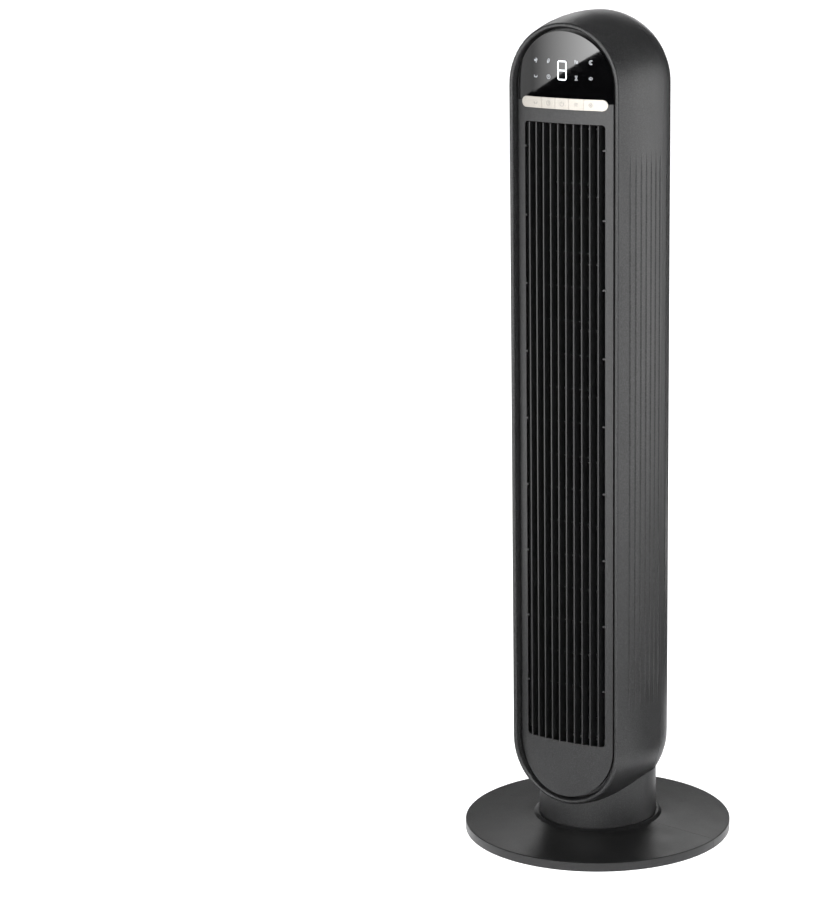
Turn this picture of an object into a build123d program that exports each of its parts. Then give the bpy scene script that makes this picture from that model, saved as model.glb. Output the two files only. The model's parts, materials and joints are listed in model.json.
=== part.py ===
"""Tower fan on a round base, in millimetres, +Z up, front towards -Y, origin under the base's centre.

The body is one plan outline swept round a straight vertical spine: extruded along the spine and
revolved about each of its ends, so the front view is a capsule. The whole body swivels on the base.
"""

from build123d import *
from math import acos, asin, cos, degrees, pi, radians, sin, sqrt, tan
import os

# --- Driving dimensions -------------------------------------------------------------------------
SPINE_TOP, SPINE_BOTTOM = 842.6, 116.0  # ends of the body's spine
SIDE_X, SIDE_Y, SIDE_R = 77.4, -2.0, 242.0  # widest point of the plan outline, and its side's radius
CORNER_R, CORNER_START = 65.0, 2.37  # rear corner radius, and the angle where it leaves the side arc
WALL = 2.5
SEAM_Y, SEAM_GAP = 6.0, 0.15  # parting line of the two housings
LIP_Y, LIP_ARC_R, LIP_INNER = -69.3, 2.6, 61.5  # rounded rim round the front panel
FLANGE_INNER, FLANGE_FRONT, FLANGE_BACK = 57.0, -62.6, -60.2  # ledge that the front panel rests on

PANEL_R, PANEL_Y, PANEL_HALF = 230.0, -73.6, 58.3  # front panel: bow radius, crown and half width
PANEL_T, SKIRT_T, PANEL_BACK = 2.6, 2.2, -62.7
GRILLE_HALF, GRILLE_BOTTOM, GRILLE_TOP, GRILLE_CORNER = 49.7, 121.0, 805.0, 4.0
FIN_COUNT, FIN_PITCH, FIN_W, FIN_PROUD, FIN_DEPTH = 10, 9.45, 1.4, 1.2, 12.0
RIB_COUNT, RIB_FIRST, RIB_PITCH, RIB_H, RIB_D = 17, 184.8, 37.1, 1.0, 2.0

LENS_BOTTOM, LENS_T, LENS_HALF = 827.0, 3.0, 58.9
STRIP_Z, STRIP_H, STRIP_HALF, STRIP_PROUD, STRIP_GAP = 825.6, 11.6, 52.8, 0.7, 0.25
KEY_EDGES = [-STRIP_HALF, -25.5, -8.5, 8.5, 25.5, STRIP_HALF]
KEY_NAMES = ["swing_button", "timer_button", "power_button", "mode_button", "speed_button"]
KEY_SPLIT, KEY_BACK, KEY_PLUNGER_R, KEY_PLUNGER_END = 0.15, -67.0, 2.0, -62.3
BOARD_FRONT, BOARD_T, BOARD_R = -57.0, 1.6, 62.0

FLUTE_W, FLUTE_D, FLUTE_CLEAR, FLUTE_FADE = 2.8, 1.9, 0.6, 34.0
FLUTE_BOTTOM, FLUTE_TOP = 154.0, 782.0
SIDE_FLUTES, FLUTE_FIRST_Y, FLUTE_PITCH = 7, -53.5, 8.9
REAR_FLUTES, REAR_FIRST_ANGLE, REAR_STEP_ANGLE, REAR_FLAT_PITCH = 10, 10.0, 8.4, 8.9
SLOT_W, SLOT_BOTTOM, SLOT_TOP = 2.0, 190.0, 746.0
REAR_RIBS, REAR_RIB_D, REAR_RIB_H = 9, 4.0, 2.0

BASE_R, BASE_RIM_TOP, BASE_RIM_BOTTOM, BASE_WALL = 150.0, 11.8, 1.5, 3.0
CONE_R, CONE_Z, COLLAR_R, COLLAR_Z, COLLAR_IN, WELL_Z = 82.0, 16.8, 69.4, 20.4, 67.0, 17.0
FOOT_R, FOOT_RING, FOOT_COUNT, FOOT_H = 8.0, 122.0, 6, 1.5
SCREW_RING, SCREW_COUNT, COVER_SPLIT = 141.0, 8, 0.12
GLAND_OUT, GLAND_HOLE, GLAND_Z, GLAND_LENGTH = 4.3, 3.4, 6.2, 12.0
NECK_R, NECK_IN, NECK_BOTTOM, NECK_TOP = 66.0, 63.0, 18.6, 95.0
NECK_HOLE = 58.0  # opening in the body's underside, inside the neck
POST_R, POST_IN, POST_TOP = 14.0, 9.0, 57.0
TABLE_BOTTOM, TABLE_TOP, HUB_R, HUB_TOP = 20.0, 23.5, 20.0, 40.0

GEAR_MODULE, SUN_TEETH, PINION_TEETH, PRESSURE, BACKLASH = 1.25, 48, 12, 25.0, 0.16
GEAR_BOTTOM, GEAR_TOP = 45.0, 51.0
GEAR_CENTRE = GEAR_MODULE * (SUN_TEETH + PINION_TEETH) / 2
SWIVEL_MOTOR_R, SWIVEL_SHAFT_OFFSET, SWIVEL_MOTOR_TOP = 14.0, 8.0, 43.0

FAN_Y = 4.0  # impeller and motor axis
FAN_R, FAN_IN, FAN_BOTTOM, FAN_TOP, FAN_DISC, FAN_SEGMENTS, FAN_BLADES = 43.0, 33.5, 140.0, 797.0, 1.6, 9, 34
SHAFT_R, HUB_BUSH_R, AXLE_R, FIT = 4.0, 12.0, 3.0, 0.04
DECK_BOTTOM, DECK_T, TOP_DECK = 126.0, 3.0, 804.0
DECK_POST_X, DECK_POST_Y, DECK_POST_R = 41.0, 31.0, 5.0
MOTOR_R, MOTOR_BOTTOM, MOTOR_TOP, MOTOR_FLANGE_R, MOTOR_BOLT_R = 35.0, 80.0, 120.0, 44.0, 40.0
CABLE_X, CABLE_Y, CABLE_R, CABLE_HOLE = -60.0, -40.0, 2.0, 5.0
REAR_SCREW_X, REAR_SCREW_ZS = 30.0, (136.0, 814.0)

# --- Worked-out values --------------------------------------------------------------------------
SIDE_CX = SIDE_X - SIDE_R
CORNER_CX = SIDE_CX + (SIDE_R - CORNER_R) * cos(radians(CORNER_START))
CORNER_CY = SIDE_Y + (SIDE_R - CORNER_R) * sin(radians(CORNER_START))
BACK_Y = CORNER_CY + CORNER_R
PANEL_CENTRE_Y = PANEL_Y + PANEL_R


# --- Shared shapes ------------------------------------------------------------------------------
def side_x(y, inset=0.0):
    """Half width of the plan outline at y, moved in by inset."""
    return SIDE_CX + sqrt((SIDE_R - inset) ** 2 - (y - SIDE_Y) ** 2)


def side_arc(y_from, y_to, inset=0.0):
    start = degrees(asin((y_from - SIDE_Y) / (SIDE_R - inset)))
    end = degrees(asin((y_to - SIDE_Y) / (SIDE_R - inset)))
    return CenterArc((SIDE_CX, SIDE_Y), SIDE_R - inset, start, end - start)


def half_plan(inset, y_front):
    """Right half of the plan outline, from y_front to the back, as a face against x = 0."""
    corner_y = SIDE_Y + (SIDE_R - inset) * sin(radians(CORNER_START))
    x_front = side_x(y_front, inset)
    y_back = BACK_Y - inset
    return make_face([
        Line((0, y_front), (x_front, y_front)),
        side_arc(y_front, corner_y, inset),
        CenterArc((CORNER_CX, CORNER_CY), CORNER_R - inset, CORNER_START, 90 - CORNER_START),
        Line((CORNER_CX, y_back), (0, y_back)),
        Line((0, y_back), (0, y_front)),
    ])


def whole_plan(inset, y_front):
    half = half_plan(inset, y_front)
    return half + mirror(half, Plane.YZ)


def rise(face, z0, z1):
    """A plan face extruded straight up from z0 to z1."""
    return extrude(Pos(0, 0, z0) * face, amount=z1 - z0, dir=(0, 0, 1))


def round_spine(section):
    """A half section in plan, swept round the spine: both sides, the top arch and the bottom arch."""
    right = rise(section, SPINE_BOTTOM, SPINE_TOP)
    top = revolve(Pos(0, 0, SPINE_TOP) * section, Axis((0, 0, SPINE_TOP), (0, -1, 0)), 180)
    bottom = revolve(Pos(0, 0, SPINE_BOTTOM) * section, Axis((0, 0, SPINE_BOTTOM), (0, 1, 0)), 180)
    return right + mirror(right, Plane.YZ) + top + bottom


def capsule_face(radius, z_low, z_high):
    """Capsule outline round the spine, cut off at z_low and z_high, as a face looking along Y."""
    body = Pos(0, (SPINE_TOP + SPINE_BOTTOM) / 2) * Rectangle(2 * radius, SPINE_TOP - SPINE_BOTTOM)
    body += Pos(0, SPINE_TOP) * Circle(radius) + Pos(0, SPINE_BOTTOM) * Circle(radius)
    return body & Pos(0, (z_low + z_high) / 2) * Rectangle(4 * radius, z_high - z_low)


def along_y(face, y0, y1):
    """A face drawn in x and z, extruded from y0 back to y1."""
    return extrude(Plane((0, y0, 0), (1, 0, 0), (0, -1, 0)) * face, amount=-(y1 - y0))


def upright_tube(radius, bore, z0, z1, x=0.0, y=0.0):
    """An upright round bar, or a tube where bore is over 0."""
    face = Pos(x, y) * Circle(radius)
    if bore:
        face -= Pos(x, y) * Circle(bore)
    return rise(face, z0, z1)


def bar_along_y(radius, x, z, y0, y1):
    return along_y(Pos(x, z) * Circle(radius), y0, y1)


def bowed_block(crown_y, depth):
    """Everything within depth behind the front panel's bow, its crown moved to crown_y."""
    radius = PANEL_CENTRE_Y - crown_y
    return upright_tube(radius, radius - depth, 0, 1000, 0, PANEL_CENTRE_Y)


def box_between(x0, x1, y0, y1, z0, z1):
    return Pos((x0 + x1) / 2, (y0 + y1) / 2, (z0 + z1) / 2) * Box(x1 - x0, y1 - y0, z1 - z0)


def ring_points(count, radius, start=0.0, cx=0.0, cy=0.0):
    steps = [radians(start + 360 * i / count) for i in range(count)]
    return [(cx + radius * cos(a), cy + radius * sin(a)) for a in steps]


def group(shapes):
    return Compound([solid for shape in shapes for solid in shape.solids()])


# --- Housing ------------------------------------------------------------------------------------
def flute(x, y, angle):
    """Cutter for a V groove that fades out at both ends, on a surface whose normal is at angle."""
    nx, ny = cos(radians(angle)), sin(radians(angle))
    half = FLUTE_W / 2 * (FLUTE_D + FLUTE_CLEAR) / FLUTE_D
    top_x, top_y = x + nx * FLUTE_CLEAR, y + ny * FLUTE_CLEAR
    stations = [(FLUTE_BOTTOM, 0.1), (FLUTE_BOTTOM + FLUTE_FADE, 1.0),
                (FLUTE_TOP - FLUTE_FADE, 1.0), (FLUTE_TOP, 0.1)]
    wires = []
    for z, s in stations:
        depth = s * (FLUTE_D + FLUTE_CLEAR)
        wires.append(Wire.make_polygon([
            (top_x - ny * half * s, top_y + nx * half * s, z),
            (top_x + ny * half * s, top_y - nx * half * s, z),
            (top_x - nx * depth, top_y - ny * depth, z),
        ], close=True))
    return Solid.make_loft(wires, ruled=True)


def side_flutes():
    """Seven grooves down each side of the front housing."""
    cutters = []
    for i in range(SIDE_FLUTES):
        y = FLUTE_FIRST_Y + i * FLUTE_PITCH
        angle = degrees(asin((y - SIDE_Y) / SIDE_R))
        cutters.append(flute(side_x(y), y, angle))
    return cutters + [mirror(c, Plane.YZ) for c in cutters]


def rear_lines():
    """Place and normal of each rear slot: round both corners and across the flat back."""
    lines = []
    for i in range(REAR_FLUTES):
        angle = REAR_FIRST_ANGLE + i * REAR_STEP_ANGLE
        x = CORNER_CX + CORNER_R * cos(radians(angle))
        y = CORNER_CY + CORNER_R * sin(radians(angle))
        lines += [(x, y, angle), (-x, y, 180 - angle)]
    return lines + [(k * REAR_FLAT_PITCH, BACK_Y, 90) for k in (-1, 0, 1)]


def rear_slot(x, y, angle):
    """Cutter for the air slot at the bottom of a rear groove."""
    depth = 2 * WALL
    block = Box(depth, SLOT_W, SLOT_TOP - SLOT_BOTTOM)
    middle = (SLOT_TOP + SLOT_BOTTOM) / 2
    nx, ny = cos(radians(angle)), sin(radians(angle))
    return Pos(x - nx * WALL / 2, y - ny * WALL / 2, middle) * Rot(0, 0, angle) * block


def front_housing():
    """Front shell with its rounded rim, the ledge for the front panel and four board pegs."""
    lip_x = side_x(LIP_Y) - LIP_ARC_R
    lip_end = radians(-150)
    lip_stop = (lip_x + LIP_ARC_R * cos(lip_end), LIP_Y + LIP_ARC_R * sin(lip_end))
    seam = SEAM_Y - SEAM_GAP
    section = make_face([
        CenterArc((lip_x, LIP_Y), LIP_ARC_R, 0, -150),
        Polyline(lip_stop, (LIP_INNER, -66), (LIP_INNER, FLANGE_FRONT), (FLANGE_INNER, FLANGE_FRONT),
                 (FLANGE_INNER, FLANGE_BACK), (side_x(FLANGE_BACK, WALL), FLANGE_BACK)),
        side_arc(FLANGE_BACK, seam, WALL),
        Line((side_x(seam, WALL), seam), (side_x(seam), seam)),
        side_arc(seam, LIP_Y),
    ])
    shell = round_spine(section)
    shell -= upright_tube(NECK_HOLE, 0, 0, SPINE_BOTTOM)
    shell -= side_flutes()
    for x, z in board_screw_places():
        shell += bar_along_y(2.6, x, z, FLANGE_BACK - 0.5, BOARD_FRONT - 0.05)
        shell -= bar_along_y(1.2 + FIT, x, z, FLANGE_BACK - 1.2, BOARD_FRONT)
    return shell


def rear_housing():
    """Rear shell with the air slots, the inner ribs that tie its bars, and four screw bosses."""
    front = SEAM_Y + SEAM_GAP
    section = half_plan(0, front) - half_plan(WALL, front)
    shell = round_spine(section)
    shell -= upright_tube(NECK_HOLE, 0, 0, SPINE_BOTTOM)
    shell -= [flute(*line) for line in rear_lines()]
    shell -= [rear_slot(*line) for line in rear_lines()]
    rib = whole_plan(WALL - 0.6, front + 2) - whole_plan(WALL + REAR_RIB_D, front + 1)
    pitch = (SLOT_TOP - SLOT_BOTTOM) / (REAR_RIBS + 1)
    for i in range(REAR_RIBS):
        z = SLOT_BOTTOM + (i + 1) * pitch
        shell += rise(rib, z - REAR_RIB_H / 2, z + REAR_RIB_H / 2)
    for x, z in rear_screw_places():
        shell += bar_along_y(5.5, x, z, 63.2, 66.5)
        shell -= bar_along_y(3.4, x, z, 65.6, BACK_Y + 2)
        shell -= bar_along_y(1.9, x, z, 60, BACK_Y)
    return shell


def rear_screw_places():
    return [(sx * REAR_SCREW_X, z) for sx in (-1, 1) for z in REAR_SCREW_ZS]


def pan_screw_y(x, z, y_head, shank_end, head_r, shank_r, head_t, facing=1):
    """Cross-head screw along Y. facing 1 has its head towards +Y, -1 towards -Y."""
    out = y_head + facing * head_t
    screw = bar_along_y(head_r, x, z, min(y_head, out), max(y_head, out))
    screw += bar_along_y(shank_r, x, z, min(shank_end, y_head), max(shank_end, y_head))
    cross = box_between(x - head_r * 0.6, x + head_r * 0.6, out - 0.7, out + 0.7, z - 0.4, z + 0.4)
    cross += box_between(x - 0.4, x + 0.4, out - 0.7, out + 0.7, z - head_r * 0.6, z + head_r * 0.6)
    return screw - cross


def housing_screws():
    return group([pan_screw_y(x, z, 65.65, 57.0, 3.1, 1.7, 1.8) for x, z in rear_screw_places()])


# --- Front panel, display and keys ----------------------------------------------------------------
def bowed_panel(half_width, z_low, z_high, thickness):
    """Bowed plate with a skirt down to the ledge, for the part of the capsule between two heights."""
    outer = along_y(capsule_face(half_width, z_low, z_high), PANEL_Y - 10, PANEL_BACK)
    inner = along_y(capsule_face(half_width - SKIRT_T, z_low + SKIRT_T, z_high - SKIRT_T),
                    PANEL_Y - 10, PANEL_BACK + 1)
    solid_front = upright_tube(PANEL_R, 0, 0, 1000, 0, PANEL_CENTRE_Y)
    solid_back = upright_tube(PANEL_R - thickness, 0, 0, 1000, 0, PANEL_CENTRE_Y)
    return (outer & solid_front) - (inner & solid_back)


def pill(grow):
    """Outline of the key strip in x and z, grown all round."""
    height = STRIP_H + 2 * grow
    return Pos(0, STRIP_Z) * RectangleRounded(2 * (STRIP_HALF + grow), height, height / 2 - 0.01)


def fin(x):
    """One upright fin of the grille: a little proud of the panel, rounding back into the opening's ends."""
    crown = PANEL_Y - FIN_PROUD + x * x / (2 * PANEL_R)
    low, high, back = GRILLE_BOTTOM, GRILLE_TOP, crown + FIN_DEPTH
    sunk = crown + FIN_PROUD + 0.6
    front = FilletPolyline((sunk, low), (crown, low), (crown, high), (sunk, high), radius=FIN_PROUD)
    rear = Polyline((sunk, high), (sunk, high + 3), (back, high + 3),
                    (back, low - 3), (sunk, low - 3), (sunk, low))
    profile = make_face([front, rear])
    return extrude(Plane((x - FIN_W / 2, 0, 0), (0, 1, 0), (1, 0, 0)) * profile, amount=FIN_W)


def front_grille():
    """Bowed panel with the tall air opening, ten upright fins, the cross ribs behind and end pegs."""
    panel = bowed_panel(PANEL_HALF, SPINE_BOTTOM - PANEL_HALF - 1, LENS_BOTTOM - 0.1, PANEL_T)
    height = GRILLE_TOP - GRILLE_BOTTOM
    opening = Pos(0, GRILLE_BOTTOM + height / 2) * RectangleRounded(2 * GRILLE_HALF, height, GRILLE_CORNER)
    panel -= along_y(opening, PANEL_Y - 10, PANEL_BACK + 1)
    panel -= along_y(pill(STRIP_GAP), PANEL_Y - 10, PANEL_BACK + 1)
    first = -(FIN_COUNT - 1) / 2 * FIN_PITCH
    for i in range(FIN_COUNT):
        panel += fin(first + i * FIN_PITCH)
    rib_band = bowed_block(PANEL_Y - FIN_PROUD + FIN_DEPTH - RIB_D, RIB_D)
    for k in range(RIB_COUNT):
        z = RIB_FIRST + k * RIB_PITCH
        reach = PANEL_HALF - SKIRT_T / 2
        panel += rib_band & box_between(-reach, reach, PANEL_Y - 5, PANEL_BACK, z - RIB_H / 2, z + RIB_H / 2)
        if k % 2 == 0:
            peg = bowed_block(PANEL_Y - 0.5, PANEL_T)
            for side in (-1, 1):
                x0, x1 = sorted((side * (GRILLE_HALF - 2.6), side * (GRILLE_HALF + 1.4)))
                panel += peg & box_between(x0, x1, PANEL_Y - 5, PANEL_BACK, z - 0.9, z + 0.9)
    return panel


def display_lens():
    """Dark window over the display, filling the top arch down to the key strip."""
    lens = bowed_panel(LENS_HALF, LENS_BOTTOM, SPINE_TOP + LENS_HALF + 1, LENS_T)
    return lens - along_y(pill(STRIP_GAP), PANEL_Y - 10, PANEL_BACK + 1)


def key(left, right):
    """One key of the strip, with a plunger behind it that reaches its switch."""
    strip = along_y(pill(0), PANEL_Y - 10, KEY_BACK)
    strip &= bowed_block(PANEL_Y - STRIP_PROUD, 30)
    left_edge = left + (KEY_SPLIT if left > -STRIP_HALF else -1)
    right_edge = right - (KEY_SPLIT if right < STRIP_HALF else -1)
    cap = strip & box_between(left_edge, right_edge, -90, KEY_BACK, STRIP_Z - 10, STRIP_Z + 10)
    return cap + bar_along_y(KEY_PLUNGER_R, key_x(left, right), STRIP_Z, KEY_BACK - 0.5, KEY_PLUNGER_END)


def key_x(left, right):
    """Where a key's icon and plunger are: under the icon, so not in the middle of an end key."""
    if left == -STRIP_HALF:
        return right - (KEY_EDGES[2] - KEY_EDGES[1]) / 2
    if right == STRIP_HALF:
        return left + (KEY_EDGES[2] - KEY_EDGES[1]) / 2
    return (left + right) / 2


def key_centres():
    return [key_x(a, b) for a, b in zip(KEY_EDGES, KEY_EDGES[1:])]


def key_switches():
    """Tactile switches on the display board, one behind each key."""
    switches = []
    for x in key_centres():
        body = box_between(x - 3, x + 3, BOARD_FRONT - 3.2, BOARD_FRONT - 0.02, STRIP_Z - 3, STRIP_Z + 3)
        switches.append(body + bar_along_y(1.6, x, STRIP_Z, BOARD_FRONT - 4.4, BOARD_FRONT - 3.0))
    return group(switches)


def board_screw_places():
    r = (FLANGE_INNER + LIP_INNER) / 2
    top = [(r * cos(radians(a)), SPINE_TOP + r * sin(radians(a))) for a in (40, 140)]
    return top + [(-r, SPINE_TOP - 26), (r, SPINE_TOP - 26)]


def display_board():
    """Circuit board behind the display and the keys."""
    board = along_y(capsule_face(BOARD_R, SPINE_TOP - 32, SPINE_TOP + 50), BOARD_FRONT, BOARD_FRONT + BOARD_T)
    for x, z in board_screw_places():
        board -= bar_along_y(1.3, x, z, BOARD_FRONT - 1, BOARD_FRONT + BOARD_T + 1)
    return board


def display_board_screws():
    y = BOARD_FRONT + BOARD_T + 0.03
    return group([pan_screw_y(x, z, y, y - 5, 2.3, 1.15, 1.4) for x, z in board_screw_places()])


def digit_module():
    """Seven-segment light block: a housing on the board with seven bars of light guide."""
    x, z, half_w, half_h, bar = 0.0, 861.5, 5.0, 10.0, 1.5
    block = box_between(-7.5, 7.5, BOARD_FRONT - 6, BOARD_FRONT - 0.02, z - 13, z + 13)
    front, back = PANEL_Y + LENS_T + 0.5, BOARD_FRONT - 6
    segments = [(x, z + k * half_h, half_w - bar, bar / 2) for k in (-1, 0, 1)]
    for i in (-1, 1):
        segments += [(x + i * half_w, z + k * half_h / 2, bar / 2, half_h / 2 - bar) for k in (-1, 1)]
    for cx, cz, hx, hz in segments:
        block += box_between(cx - hx, cx + hx, front, back + 0.5, cz - hz, cz + hz)
    return block


def indicator_places():
    return [(x, z) for z in (870.0, 853.2) for x in (-34.0, -17.0, 17.0, 34.0)]


def indicator_lights():
    """Light guides of the eight small indicators, from the board to just behind the lens."""
    guides = []
    for x, z in indicator_places():
        front = PANEL_Y + LENS_T + 0.5 + x * x / (2 * PANEL_R)
        guides.append(bar_along_y(2.2, x, z, front, BOARD_FRONT - 0.02))
    return group(guides)


def infrared_receiver():
    """Remote receiver on the board, a block with a domed eye."""
    block = box_between(14, 20, BOARD_FRONT - 3, BOARD_FRONT - 0.02, 836, 843)
    return block + Pos(17, BOARD_FRONT - 3, 839.5) * Sphere(2.0)


# --- Base and swivel ----------------------------------------------------------------------------
def whole_cover():
    """Round top cover: a rim, a shallow cone, a raised collar round the neck and the well inside it."""
    w = BASE_WALL
    outline = [
        (BASE_R, BASE_RIM_BOTTOM), (BASE_R, BASE_RIM_TOP - 0.7), (BASE_R - 0.7, BASE_RIM_TOP),
        (CONE_R, CONE_Z), (COLLAR_R + 3, CONE_Z + 1.2), (COLLAR_R + 0.6, COLLAR_Z - 0.8),
        (COLLAR_R - 0.4, COLLAR_Z), (COLLAR_IN, COLLAR_Z), (COLLAR_IN, WELL_Z),
        (POST_R + 0.1, WELL_Z), (POST_R + 0.1, WELL_Z - w), (COLLAR_R, WELL_Z - w),
        (CONE_R, CONE_Z - w), (BASE_R - w, BASE_RIM_TOP - w - 0.2), (BASE_R - w, BASE_RIM_BOTTOM),
    ]
    section = Plane.XZ * make_face(Polyline(outline, close=True))
    cover = revolve(section, Axis.Z)
    for x, y in ring_points(SCREW_COUNT, SCREW_RING, 180 / SCREW_COUNT):
        cover += upright_tube(3.4, 0, 4.1, 9.5, x, y)
        cover -= upright_tube(1.5 + FIT, 0, 4.0, 8.6, x, y)
    return cover - bar_along_y(GLAND_OUT + FIT, 0, GLAND_Z, BASE_R - GLAND_LENGTH - 1, BASE_R + 5)


def cover_half(side):
    """The cover's front (side -1) or rear (side 1) half, a hairline short of the split."""
    near, far = sorted((side * COVER_SPLIT, side * (BASE_R + 1)))
    return whole_cover() & box_between(-BASE_R - 1, BASE_R + 1, near, far, 0, COLLAR_Z + 1)


def base_front_cover():
    return cover_half(-1)


def base_rear_cover():
    return cover_half(1)


def cord_gland():
    """Rubber bush in the rear of the rim, where the supply lead enters."""
    outer_end = BASE_R - 0.35
    inner_end = outer_end - GLAND_LENGTH
    outline = make_face(Polyline((GLAND_HOLE, inner_end), (GLAND_OUT, inner_end), (GLAND_OUT, outer_end),
                                 (GLAND_HOLE + 0.4, outer_end), (GLAND_HOLE, outer_end - 0.5), close=True))
    return Pos(0, 0, GLAND_Z) * revolve(outline, Axis.Y)


def base_plate():
    """Round bottom plate, with holes for its screws and for the feet's studs."""
    plate = upright_tube(BASE_R - BASE_WALL - 0.4, POST_IN, BASE_RIM_BOTTOM, 4.0)
    for x, y in ring_points(SCREW_COUNT, SCREW_RING, 180 / SCREW_COUNT):
        plate -= upright_tube(1.8, 0, 0, 5, x, y)
        plate -= upright_tube(3.2, 0, 0, 3.0, x, y)
    for x, y in ring_points(FOOT_COUNT, FOOT_RING):
        plate -= upright_tube(3.05, 0, 0, 5, x, y)
    return plate - bar_along_y(GLAND_OUT + 0.3, 0, GLAND_Z, BASE_R - GLAND_LENGTH - 1.5, BASE_R)


def base_weight():
    """Steel ballast ring between the plate and the cover."""
    return upright_tube(134, 46, 4.1, 9.6)


def base_feet():
    """Six rubber feet, each with a stud that clips into the plate."""
    feet = []
    for x, y in ring_points(FOOT_COUNT, FOOT_RING):
        pad = upright_tube(FOOT_R, 0, 0, FOOT_H - 0.02, x, y)
        feet.append(pad + upright_tube(3.0, 0, FOOT_H - 0.5, 3.9, x, y))
    return group(feet)


def up_screw(x, y, z_head, length, head_r, shank_r, head_t):
    """Cross-head screw driven upwards, its head's flat underside at z_head."""
    screw = upright_tube(head_r, 0, z_head - head_t, z_head, x, y)
    screw += upright_tube(shank_r, 0, z_head, z_head + length, x, y)
    low = z_head - head_t
    cross = box_between(x - head_r * 0.6, x + head_r * 0.6, y - 0.35, y + 0.35, low - 1, low + 0.7)
    cross += box_between(x - 0.35, x + 0.35, y - head_r * 0.6, y + head_r * 0.6, low - 1, low + 0.7)
    return screw - cross


def base_screws():
    places = ring_points(SCREW_COUNT, SCREW_RING, 180 / SCREW_COUNT)
    return group([up_screw(x, y, 2.98, 5.4, 3.0, 1.5, 1.3) for x, y in places])


def pivot_post():
    """Hollow post that the body swivels on, flanged under the cover."""
    flange = upright_tube(30, POST_IN, 9.9, WELL_Z - BASE_WALL - 0.03)
    return flange + upright_tube(POST_R, POST_IN, 9.9, POST_TOP)


def slide_ring():
    """Low-friction ring that carries the turntable."""
    return upright_tube(60, 50, WELL_Z + 0.02, TABLE_BOTTOM - 0.1)


def pivot_washer():
    return upright_tube(21, POST_R + 0.02, HUB_TOP + 0.1, HUB_TOP + 1.6)


def pivot_nut():
    """Hexagonal nut that clamps the gear and washer on the post."""
    return rise(RegularPolygon(19.5, 6) - Circle(POST_R + 0.02), GEAR_TOP + 0.05, POST_TOP - 0.5)


def involute_flank(base_r, r, half_at_pitch, pitch_r, side):
    """Point on a tooth flank at radius r, for a tooth centred on +X."""
    def roll(radius):
        a = acos(min(1.0, base_r / radius))
        return tan(a) - a
    angle = side * (half_at_pitch + roll(pitch_r) - roll(max(r, base_r)))
    return (r * cos(angle), r * sin(angle))


def gear_face(teeth, turn):
    """Spur gear outline with involute flanks, turned so that one tooth's centre is at turn degrees."""
    pitch_r = GEAR_MODULE * teeth / 2
    base_r = pitch_r * cos(radians(PRESSURE))
    tip_r, root_r = pitch_r + 0.95 * GEAR_MODULE, pitch_r - 1.25 * GEAR_MODULE
    half = (pi * GEAR_MODULE / 2 - BACKLASH) / 2 / pitch_r
    radii = [max(base_r, root_r) + (tip_r - max(base_r, root_r)) * i / 6 for i in range(7)]
    points = []
    for k in range(teeth):
        a = 2 * pi * k / teeth + radians(turn)
        rising = [(root_r * cos(-half * 1.25), root_r * sin(-half * 1.25))] if root_r < base_r else []
        rising += [involute_flank(base_r, r, half, pitch_r, -1) for r in radii]
        falling = [(x, -y) for x, y in reversed(rising)]
        for x, y in rising + falling:
            points.append((x * cos(a) - y * sin(a), x * sin(a) + y * cos(a)))
    return make_face(Polyline(points, close=True))


def sun_gear():
    """Fixed gear on the post; the swivel motor's pinion walks round it."""
    gear = rise(gear_face(SUN_TEETH, 0) - Circle(POST_R + 0.02), GEAR_BOTTOM, GEAR_TOP)
    return gear + upright_tube(20, POST_R + 0.02, HUB_TOP + 1.65, GEAR_BOTTOM + 0.2)


def swivel_pinion():
    """Pinion on the swivel motor's shaft, in mesh with the fixed gear."""
    face = gear_face(PINION_TEETH, 180 + 180 / PINION_TEETH)
    gear = Pos(GEAR_CENTRE, 0) * rise(face, GEAR_BOTTOM, GEAR_TOP)
    return gear + upright_tube(2.5, 0, SWIVEL_MOTOR_TOP + 0.3, GEAR_TOP, GEAR_CENTRE, 0)


def turntable():
    """Swivelling floor of the neck, with the hub that turns on the post."""
    disc = upright_tube(NECK_IN - 0.1, POST_R + 0.06, TABLE_BOTTOM, TABLE_TOP)
    disc += upright_tube(HUB_R, POST_R + 0.06, TABLE_BOTTOM, HUB_TOP)
    for x, y in deck_posts():
        disc -= upright_tube(1.9, 0, 0, 50, x, y)
        disc -= upright_tube(3.4, 0, 0, TABLE_BOTTOM + 1.6, x, y)
    return disc


def deck_posts():
    return [(sx * DECK_POST_X, sy * DECK_POST_Y) for sx in (-1, 1) for sy in (-1, 1)]


def turntable_screws():
    return group([up_screw(x, y, TABLE_BOTTOM + 1.58, 12, 3.2, 1.6, 1.4) for x, y in deck_posts()])


def neck_collar():
    """Round neck, its top edge shaped to the underside of the body."""
    tube = upright_tube(NECK_R, NECK_IN, NECK_BOTTOM, NECK_TOP)
    return tube - round_spine(half_plan(-0.15, LIP_Y - LIP_ARC_R - 0.5))


def swivel_motor():
    """Small geared stepper that stands on the turntable, with two fixing ears."""
    cx = GEAR_CENTRE + SWIVEL_SHAFT_OFFSET
    z0 = TABLE_TOP + 0.02
    body = upright_tube(SWIVEL_MOTOR_R, 0, z0, SWIVEL_MOTOR_TOP, cx, 0)
    ears = box_between(cx - 3.5, cx + 3.5, -21, 21, z0, z0 + 1.5)
    for sy in (-1, 1):
        ears -= upright_tube(1.7, 0, z0 - 1, z0 + 3, cx, sy * 17.5)
    wires = box_between(cx - 6, cx + 6, SWIVEL_MOTOR_R - 2, SWIVEL_MOTOR_R + 2.5, z0 + 6, z0 + 13)
    motor = body + ears + wires
    return motor - upright_tube(4.6, 2.6, SWIVEL_MOTOR_TOP - 0.6, SWIVEL_MOTOR_TOP + 1, GEAR_CENTRE, 0)


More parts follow.
